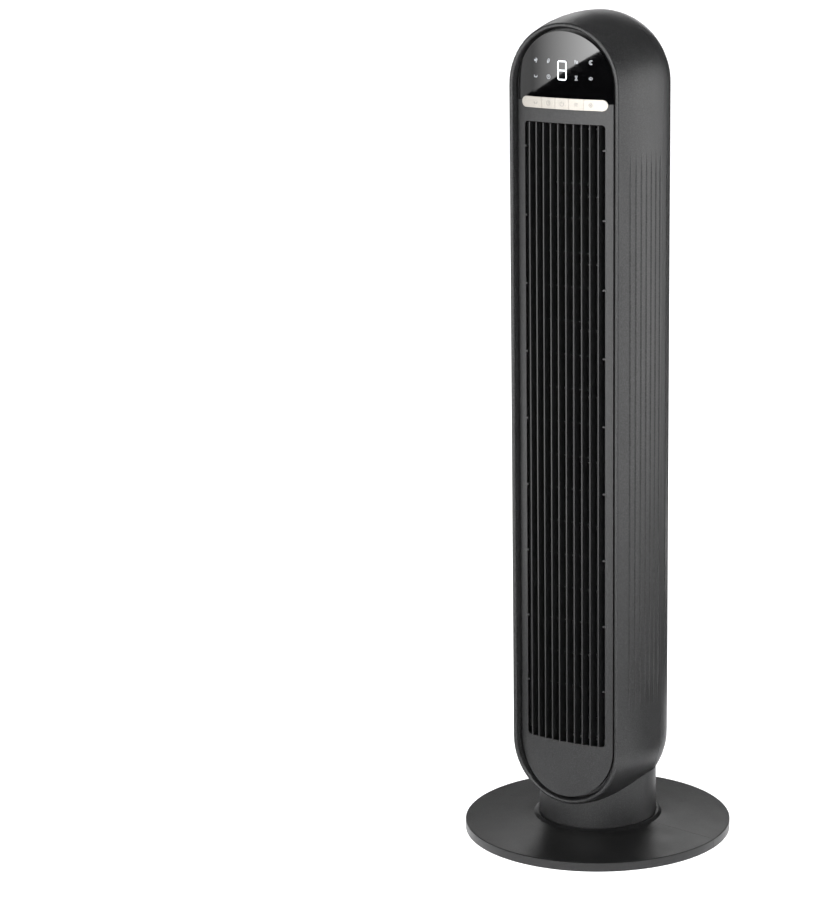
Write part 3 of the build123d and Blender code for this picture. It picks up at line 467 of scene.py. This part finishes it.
def segment(cx, cz, half_length, half_width, upright):
    """Six-sided bar of a seven-segment digit."""
    long, wide = half_length, half_width
    points = [(-long, 0), (-long + wide, wide), (long - wide, wide), (long, 0), (long - wide, -wide),
              (-long + wide, -wide)]
    return [(cx + (z if upright else x), cz + (x if upright else z)) for x, z in points]


def digit_segments():
    """All seven bars of the digit, lit as an 8."""
    t = DIGIT_STROKE / 2
    w, h = DIGIT_W / 2 - t, DIGIT_H / 2 - t
    level = [segment(0, k * h, w - DIGIT_GAP, t, False) for k in (-1, 0, 1)]
    return level + [segment(i * w, k * h / 2, h / 2 - DIGIT_GAP, t, True) for i in (-1, 1) for k in (-1, 1)]


def make_display():
    """The lit digit and the eight small symbols on the dark window."""
    white = lit("display_light", (0.9, 0.95, 1.0), 2.2, (0.8, 0.82, 0.85))
    dim = lit("indicator_light", (0.75, 0.8, 0.86), 0.55, (0.45, 0.46, 0.48))
    symbol("display_digit", [], 0, DIGIT_PLACE, LENS_CROWN, white, "tower", digit_segments())
    icons = [wind_icon, leaf_icon, wave_icon, moon_icon,
             swing_icon, clock_icon, hourglass_icon, speaker_icon]
    places = [(x, z) for z in ICON_ROWS for x in ICON_COLUMNS]
    for icon, place in zip(icons, places):
        name = "display_" + icon.__name__.replace("_icon", "_symbol")
        symbol(name, icon(ICON_R), ICON_LINE, place, LENS_CROWN, dim, "tower")


def make_key_symbols():
    """A printed symbol on each key, which travels with the key."""
    ink = printed("key_ink", (0.19, 0.185, 0.18))
    icons = [swing_icon, clock_icon, power_icon, lines_icon, fan_icon]
    for k, (key, icon) in enumerate(zip(KEYS, icons)):
        low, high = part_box(key)
        place = ((k - 2) * PITCH, (low.z + high.z) / 2)
        strokes = icon(KEY_SYMBOL_R)
        symbol(key + "_symbol", strokes, KEY_SYMBOL_LINE, place, KEY_CROWN, ink, key)


# --- Surroundings ---------------------------------------------------------------------------------
FLOOR_R, EDGE_R, WALL_TOP = 5.5, 0.6, 6.0  # flat floor, its curved edge, and the wall above that


def turned(name, profile, finish):
    """A stage surface of revolution about the upright axis, from (radius, height) points."""
    steps = 96
    verts, faces = [], []
    for r, z in profile:
        verts += [(r * cos(2 * pi * i / steps), r * sin(2 * pi * i / steps), z) for i in range(steps)]
    for k in range(len(profile) - 1):
        for i in range(steps):
            j = (i + 1) % steps
            faces.append((k * steps + i, (k + 1) * steps + i, (k + 1) * steps + j, k * steps + j))
    if profile[0][1] == 0:
        faces.append(tuple(range(steps)))
    mesh = bpy.data.meshes.new(name)
    mesh.from_pydata(verts, [], faces)
    mesh.materials.append(finish)
    piece = bpy.data.objects.new(name, mesh)
    bpy.context.scene.collection.objects.link(piece)
    return piece


def make_floor():
    """Plain pale floor, round, with a low curved edge that the gloss sees and a tall wall that it doesn't."""
    s = Surface("studio_paper", 0.75, specular=0.2)
    cloud = s.spread(s.noise(0.5, 2), 0, 1)
    s.set("Base Color", s.blend(cloud, (0.86, 0.86, 0.865), (0.88, 0.88, 0.885)))
    s.shader.inputs["Emission Color"].default_value = (1, 1, 1, 1)
    s.shader.inputs["Emission Strength"].default_value = 0.36
    curve = [radians(9 * i) for i in range(11)]
    wall_r = FLOOR_R + EDGE_R
    turned("studio_floor", [(r, 0) for r in (1.0, 2.5, 4.5, FLOOR_R)], s.material)
    turned("studio_edge", [(FLOOR_R + EDGE_R * sin(a), EDGE_R - EDGE_R * cos(a)) for a in curve], s.material)
    wall = turned("studio_wall", [(wall_r, z) for z in (EDGE_R, WALL_TOP / 2, WALL_TOP)], s.material)
    wall.visible_glossy = False


def aim_from(thing, azimuth, elevation, distance, aim):
    """Puts a light or a card round the fan at a view's azimuth and elevation, facing aim."""
    a, e = radians(azimuth), radians(elevation)
    back = Vector((sin(a) * cos(e), -cos(a) * cos(e), sin(e)))
    bpy.context.scene.collection.objects.link(thing)
    thing.location = Vector(aim) + back * distance
    thing.rotation_mode = "QUATERNION"
    thing.rotation_quaternion = (-back).to_track_quat("-Z", "Y")
    thing.visible_camera = False


def area_light(name, azimuth, elevation, distance, size, radiance, aim):
    """A softbox of one brightness, kept out of reflections."""
    light = bpy.data.lights.new(name, "AREA")
    light.shape = "RECTANGLE"
    light.size, light.size_y = size
    light.energy = radiance * pi * size[0] * size[1]
    lamp = bpy.data.objects.new(name, light)
    aim_from(lamp, azimuth, elevation, distance, aim)
    lamp.visible_glossy = False


def card(name, azimuth, elevation, distance, size, left, right, aim, rise=0.0, curved=False):
    """A card seen only in reflections, graded from its left to its right. Black at 0, a glowing screen above.

    rise is how much higher its lower edge is at its right than at its left. curved bends it round aim.
    """
    w, h = size[0] / 2, size[1] / 2
    steps = 24 if curved else 1
    corners = []
    for i in range(steps + 1):
        along = w * (2 * i / steps - 1)
        turn = along / distance
        x, z = (distance * sin(turn), distance * (cos(turn) - 1)) if curved else (along, 0)
        corners += [(x, -h + rise * along / w / 2, z), (x, h, z)]
    mesh = bpy.data.meshes.new(name)
    mesh.from_pydata(corners, [], [(2 * i, 2 * i + 2, 2 * i + 3, 2 * i + 1) for i in range(steps)])
    s = Surface(name, 1.0, specular=0.0)
    s.shader.inputs["Base Color"].default_value = (0, 0, 0, 1)
    s.shader.inputs["Emission Strength"].default_value = 1.0
    parts = s.nodes.new("ShaderNodeSeparateXYZ")
    s.links.new(s.where, parts.inputs["Vector"])
    across = s.spread(parts.outputs["X"], 0, 1, corners[0][0], corners[-1][0])
    s.set("Emission Color", s.blend(across, (left, left, left), (right, right, right)))
    mesh.materials.append(s.material)
    sheet = bpy.data.objects.new(name, mesh)
    aim_from(sheet, azimuth, elevation, distance, aim)
    sheet.visible_diffuse = False
    sheet.visible_shadow = False


# Lights that are kept out of reflections: azimuth, elevation, distance, size, radiance, aim.
SOFTBOXES = {
    "overhead_softbox": (0, 89, 3.2, (4.0, 4.0), 2.3, (0, 0, 0.5)),
    "wall_wash": (211, 30, 3.0, (4.0, 1.5), 2.5, (0, 3.0, 0.3)),
}
# Upright cards bent round the fan, for its glossy front: azimuth, distance, size, left, right, middle's
# height, rise. The key screen's sloping lower edge makes the display's slanting reflection.
BENT_CARDS = {
    "key_screen": (-19, 3.0, (3.25, 1.2), 0.8, 9.7, 1.218, 0.13),
    "key_fade": (32, 3.0, (2.1, 1.2), 9.7, 0.0, 1.283, 0.0),
    "key_wing": (-58, 3.05, (1.1, 1.2), 0.8, 0.8, 1.136, 0.042),
    "low_flag": (-25, 3.1, (4.6, 0.52), 0.0, 0.0, 0.46, 0.0),
}
# Flat cards at the side and behind, high or upright: azimuth, elevation, distance, size, left, right,
# aim's height. The rim screen lights the base's top and the crown screen the top arch.
FLAT_CARDS = {
    "side_screen": (126, 0, 3.0, (2.8, 1.6), 1.7, 3.0, 0.8),
    "rear_flag": (188, 0, 2.4, (3.0, 1.1), 0.0, 0.0, 0.55),
    "rim_screen": (206, 26, 3.0, (1.1, 0.8), 4.2, 1.3, 0.1),
    "crown_screen": (226, 27, 3.2, (1.3, 0.9), 3.0, 3.0, 0.9),
}
# Cards that lie just above the floor: azimuth of their lower edge, height, size, left, right, place.
FLOOR_CARDS = {
    "front_floor_screen": (-30, 0.002, (3.0, 1.9), 4.2, 4.2, (-1.0, -1.73, 0.0)),
    "side_floor_screen": (128, 0.002, (2.4, 2.0), 1.9, 2.6, (1.3, 1.015, 0.0)),
    "rear_floor_flag": (188, 0.003, (2.4, 1.8), 0.0, 0.0, (-0.2, 1.4, 0.0)),
    "side_base_flag": (0, 0.004, (0.75, 0.75), 0.0, 0.0, (0.5, 0.5, 0.0)),
    "front_base_flag": (-30, 0.004, (1.0, 0.44), 0.0, 0.0, (-0.28, -0.48, 0.0)),
}
LYING = 89.9  # elevation of a card that lies flat, a little short of upright so that its azimuth counts


def make_lights():
    """Soft studio light in a dim room: softboxes for the surfaces, and screens and flags for the gloss."""
    world = bpy.data.worlds.new("studio")
    world.use_nodes = True
    world.node_tree.nodes["Background"].inputs["Color"].default_value = (1, 1, 1, 1)
    world.node_tree.nodes["Background"].inputs["Strength"].default_value = 0.05
    bpy.context.scene.world = world
    for name, (azimuth, elevation, distance, size, radiance, aim) in SOFTBOXES.items():
        area_light(name, azimuth, elevation, distance, size, radiance, aim)
    for name, (azimuth, distance, size, left, right, height, rise) in BENT_CARDS.items():
        card(name, azimuth, 0, distance, size, left, right, (0, 0, height), rise, True)
    for name, (azimuth, elevation, distance, size, left, right, height) in FLAT_CARDS.items():
        card(name, azimuth, elevation, distance, size, left, right, (0, 0, height))
    for name, (azimuth, height, size, left, right, place) in FLOOR_CARDS.items():
        card(name, azimuth, LYING, height, size, left, right, place)


CAMERA_AZIMUTH, CAMERA_PITCH = 30.62, 12.75  # degrees round from the front, and down
CAMERA_HEIGHT, CAMERA_DISTANCE = 1.126, 3.0515
CAMERA_LENS, CAMERA_SHIFT = 112.77, (-0.2043, 0.0)


def make_camera():
    """The photo's viewpoint, fitted to the outlines of the base, the body and the arch."""
    camera = bpy.data.cameras.new("camera")
    camera.lens = CAMERA_LENS
    camera.sensor_width = 36
    camera.shift_x, camera.shift_y = CAMERA_SHIFT
    eye = bpy.data.objects.new("camera", camera)
    bpy.context.scene.collection.objects.link(eye)
    a = radians(CAMERA_AZIMUTH)
    eye.location = (CAMERA_DISTANCE * sin(a), -CAMERA_DISTANCE * cos(a), CAMERA_HEIGHT)
    eye.rotation_euler = (radians(90 - CAMERA_PITCH), 0, a)
    bpy.context.scene.camera = eye


dress_frame()
make_display()
make_key_symbols()
make_floor()
make_lights()
make_camera()
bpy.context.scene.view_settings.view_transform = "Standard"
